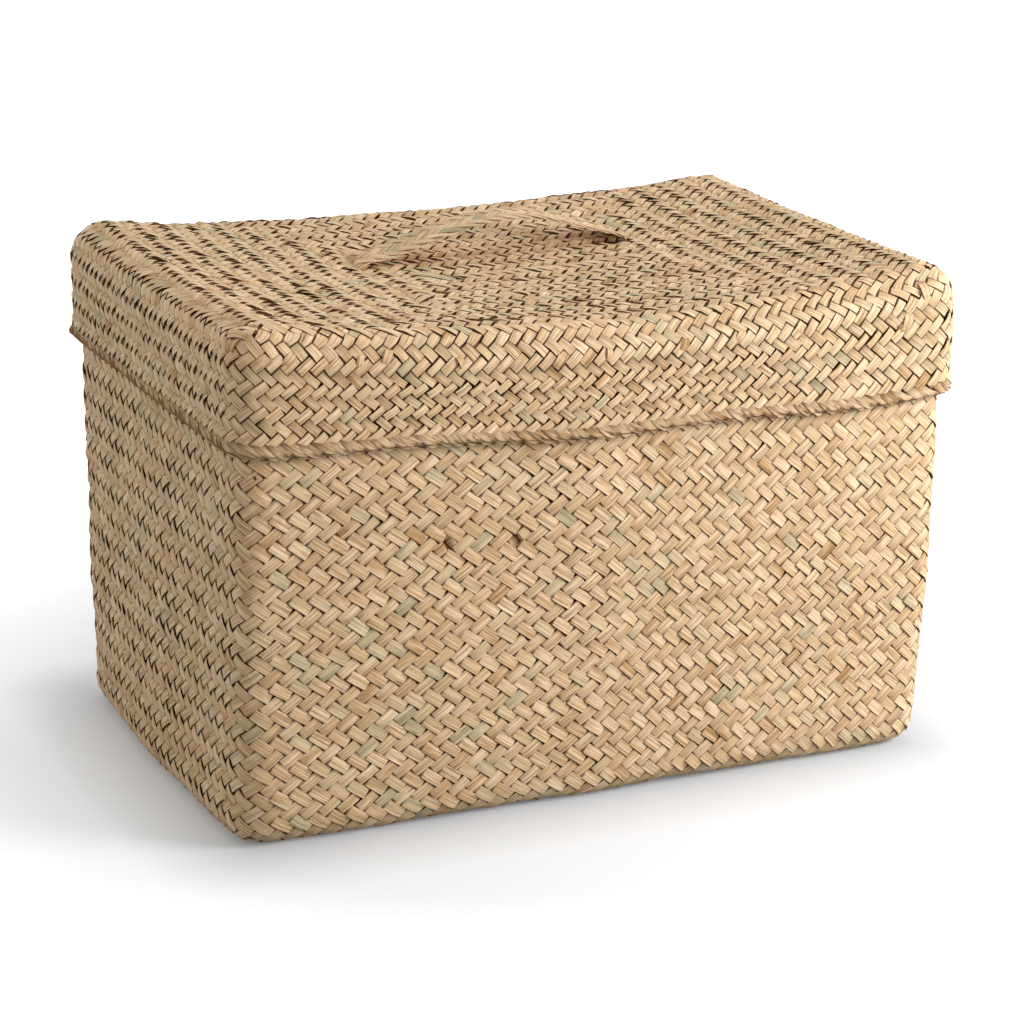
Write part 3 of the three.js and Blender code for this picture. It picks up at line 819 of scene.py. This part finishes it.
# handle strap: a flat braid of six strands that turn back at its edges
strapShape = {"width": 24.0, "thick": 2.0, "left": -66.0, "right": 80.0, "setBack": 37.0, "skew": 9.0,
              "arch": 19.0, "archSkew": 1.15, "archSteps": 7, "tail": 28.0, "tailGap": 0.7,
              "footRise": 1.6, "footRun": 1.5, "footReach": 5.0}
strapBraid = {"seed": 41, "lanes": 3, "turnAt": 10.6, "relief": 0.3, "thick": 0.85, "fill": 1.0, "perStep": 3,
              "green": {"from": -52.0, "to": 8.0, "strands": (1, 4), "tone": -0.25},
              "brownFoot": {"length": 13.0, "tone": 1.25}}


def strapLine():  # middle line of the strap: along X, and in height over the outside of the lid
    s = strapShape
    under = -(bodyShape["wall"] + s["tailGap"] + s["thick"] / 2)
    shares = np.arange(1, s["archSteps"]) / s["archSteps"]
    arch = s["arch"] * np.sin(math.pi * shares ** s["archSkew"]) - s["thick"] / 2
    knots = np.array([(s["left"] - s["tail"], under), (s["left"] - s["footReach"], under),
                      (s["left"] + s["footRun"], s["footRise"]),
                      *zip(mix(s["left"], s["right"], shares), arch),
                      (s["right"] - s["footRun"], s["footRise"]), (s["right"] + s["footReach"], under),
                      (s["right"] + s["tail"], under)])
    ends = np.concatenate([knots[:1], knots, knots[-1:]])
    t = np.linspace(0, 1, 40, endpoint=False)[:, None]
    line = []
    for k in range(len(knots) - 1):
        before, start, stop, after = ends[k:k + 4]
        pull, push = (stop - before) / 2, (after - start) / 2
        line.append((2 * start - 2 * stop + pull + push) * t ** 3 +
                    (3 * stop - 3 * start - 2 * pull - push) * t ** 2 + pull * t + start)
    line = np.concatenate(line + [knots[-1:]])
    run = np.concatenate([[0], np.cumsum(np.linalg.norm(np.diff(line, axis=0), axis=1))])
    return line, run


def strapStraws():
    rng = np.random.default_rng(strapBraid["seed"])
    s, lanes = strapShape, strapBraid["lanes"]
    line, run = strapLine()
    cellLength = s["width"] / (2 * lanes)
    steps = int(run[-1] / cellLength)
    t = np.arange(0, steps * strapBraid["perStep"] + 1) / strapBraid["perStep"]
    along = t * run[-1] / steps
    x = np.interp(along, run, line[:, 0])
    z = np.interp(along, run, line[:, 1])
    slope = unit(np.stack([np.gradient(x), np.gradient(z)], 1))
    straws = []
    for k in range(2 * lanes):
        phase = (t + 2 * k) % (4 * lanes)
        lane = np.where(phase < 2 * lanes, phase - lanes, 3 * lanes - phase)
        nodes = np.arange(0, steps + 1)
        nodePhase = (nodes + 2 * k) % (4 * lanes)
        nodeLane = np.where(nodePhase < 2 * lanes, nodePhase - lanes, 3 * lanes - nodePhase)
        lean = (nodeLane % 4) < 2
        over = np.where(np.abs(nodeLane) == lanes, 0.0, np.where(lean == (nodePhase < 2 * lanes), 1.0, -1.0))
        level = np.clip(np.interp(t, nodes, over) * 1.6, -1, 1)
        soft = np.convolve(np.pad(lane, 2, mode="edge"), (0.1, 0.22, 0.36, 0.22, 0.1), mode="valid")
        across = soft * strapBraid["turnAt"] / lanes
        middle = (s["left"] + s["right"]) / 2
        y = s["setBack"] + s["skew"] * (x - middle) / (s["right"] - s["left"]) + across
        p = np.stack([x, y, lidTopAt(x, y) + z], 1)
        normal = np.stack([-slope[:, 1], np.zeros(len(t)), slope[:, 0]], 1)
        width = math.sqrt(2) * cellLength * strapBraid["fill"] * (1 - 0.35 * np.abs(soft / lanes) ** 4)
        lift = strapBraid["relief"] * level + smoothNoise(rng, len(t), 0.05, 3)
        tone = np.repeat(rng.uniform(size=steps), strapBraid["perStep"])[:len(t)]
        tone = np.append(tone, tone[-1])[:len(t)]
        green = strapBraid["green"]
        if k in green["strands"]:
            tone = np.where((x > green["from"]) & (x < green["to"]), green["tone"], tone)
        brown = strapBraid["brownFoot"]
        tone = np.where(x < s["left"] + brown["length"], brown["tone"], tone)
        # painted shade on the parts that pass under the crossing strands
        paintedShade = np.where(level < -0.2, 0.25, 0.0)
        straws.append(layStraw(p, normal, width, lift, strapBraid["thick"], np.zeros(len(t)), rng.uniform(),
                               tone, paintedShade))
    return straws


inGroups("strap_braid", strapStraws(), 1, strawStrap, "lid", ["handle_strap"])


# floor, light and camera
view = {"lens": 112.37, "azimuth": -24.674, "elevation": 17.313, "distance": 1.57806, "roll": 0.01436,
        "target": (0.002033, -0.006238, 0.110899)}


def makeCamera():
    a, e = math.radians(view["azimuth"]), math.radians(view["elevation"])
    back = Vector((math.sin(a) * math.cos(e), -math.cos(a) * math.cos(e), math.sin(e)))
    bpy.ops.object.camera_add(location=Vector(view["target"]) + back * view["distance"])
    camera = bpy.context.object
    turn = (-back).to_track_quat("-Z", "Y").to_matrix() @ Matrix.Rotation(view["roll"], 3, "Z")
    camera.rotation_mode = "QUATERNION"
    camera.rotation_quaternion = turn.to_quaternion()
    camera.data.lens = view["lens"]
    camera.data.sensor_width = 36
    scene.camera = camera


stageLook = {"size": 12.0, "bounce": (0.25, 0.255, 0.266), "paper": (0.67, 0.705, 0.755),
             "footprint": (0.176, 0.112), "foot": (0.0, 0.05), "fade": (0.22, 0.5), "glow": (0.12, 0.36, 1.0),
             "horizon": 1.08, "zenith": 0.2, "rear": 0.35, "sky": (1.0, 0.97, 0.92)}


def seenRays(tree):  # the camera, mirrors and glass see the white background
    rays = node(tree, "ShaderNodeLightPath")
    return calc(tree, "MAXIMUM", rays.outputs["Is Camera Ray"],
                calc(tree, "MAXIMUM", rays.outputs["Is Glossy Ray"], rays.outputs["Is Transmission Ray"]))


def makeStage():
    bpy.ops.mesh.primitive_plane_add(size=stageLook["size"], location=(0, 0, -0.0004))
    floor = bpy.context.object
    floor.name = "floor"
    bpy.ops.object.transform_apply(location=True, rotation=True, scale=True)
    material = bpy.data.materials.new("floorPaper")
    material.use_nodes = True
    tree = material.node_tree
    shader = tree.nodes["Principled BSDF"]
    shader.inputs["Roughness"].default_value = 0.9
    shader.inputs["Emission Color"].default_value = (1, 1, 1, 1)
    place = node(tree, "ShaderNodeTexCoord").outputs["Object"]
    away = node(tree, "ShaderNodeVectorMath", operation="LENGTH")
    tree.links.new(place, away.inputs[0])
    spot = node(tree, "ShaderNodeSeparateXYZ")
    tree.links.new(place, spot.inputs[0])
    beyond = []
    for socket, half in zip(spot.outputs, stageLook["footprint"]):
        past = calc(tree, "SUBTRACT", calc(tree, "ABSOLUTE", socket), half)
        beyond.append(calc(tree, "MAXIMUM", past, 0.0))
    gap = node(tree, "ShaderNodeVectorMath", operation="LENGTH")
    tree.links.new(combine(tree, *beyond, 0.0), gap.inputs[0])
    footShadeGlow, near, far = stageLook["glow"]  # the floor glows less near the box and least at its foot, a painted shade on top of the real shadow; further off it glows to white
    glow = mapRange(tree, gap.outputs["Value"], *stageLook["foot"], footShadeGlow, near)
    glow = calc(tree, "ADD", glow, mapRange(tree, away.outputs["Value"], *stageLook["fade"], 0.0, far - near))
    seen = seenRays(tree)
    tree.links.new(calc(tree, "MULTIPLY", seen, glow), shader.inputs["Emission Strength"])
    paper = mixColour(tree, seen, stageLook["bounce"], stageLook["paper"])
    tree.links.new(paper, shader.inputs["Base Color"])
    floor.data.materials.append(material)
    world = bpy.data.worlds.new("studio")
    world.use_nodes = True
    tree = world.node_tree
    sky = tree.nodes["Background"]
    seen = seenRays(tree)
    tint = mixColour(tree, seen, stageLook["sky"], (1.0, 1.0, 1.0))
    tree.links.new(tint, sky.inputs["Color"])
    way = node(tree, "ShaderNodeSeparateXYZ")
    tree.links.new(node(tree, "ShaderNodeTexCoord").outputs["Generated"], way.inputs[0])
    glow = mapRange(tree, way.outputs[2], 0.0, 1.0, stageLook["horizon"], stageLook["zenith"])
    rear = calc(tree, "MULTIPLY", way.outputs[1], stageLook["rear"])  # less comes from the front
    glow = calc(tree, "MULTIPLY", glow, calc(tree, "ADD", rear, 1.0))
    tree.links.new(calc(tree, "MAXIMUM", seen, glow), sky.inputs["Strength"])
    scene.world = world


lamps = {"key": {"at": (0.6, -0.6, 0.45), "size": 0.4, "power": 6.3},
         "top": {"at": (0.0, 0.15, 1.5), "size": 0.9, "power": 2.8}}


def makeLamps():
    for name, lamp in lamps.items():
        bpy.ops.object.light_add(type="AREA", location=lamp["at"])
        light = bpy.context.object
        light.name = name
        light.data.size = lamp["size"]
        light.data.energy = lamp["power"]
        way = Vector((0, 0, 0.1)) - Vector(lamp["at"])
        light.rotation_mode = "QUATERNION"
        light.rotation_quaternion = way.to_track_quat("-Z", "Y")


makeCamera()
makeStage()
makeLamps()
scene.view_settings.view_transform = "Standard"
print("stage, lamps and camera set")
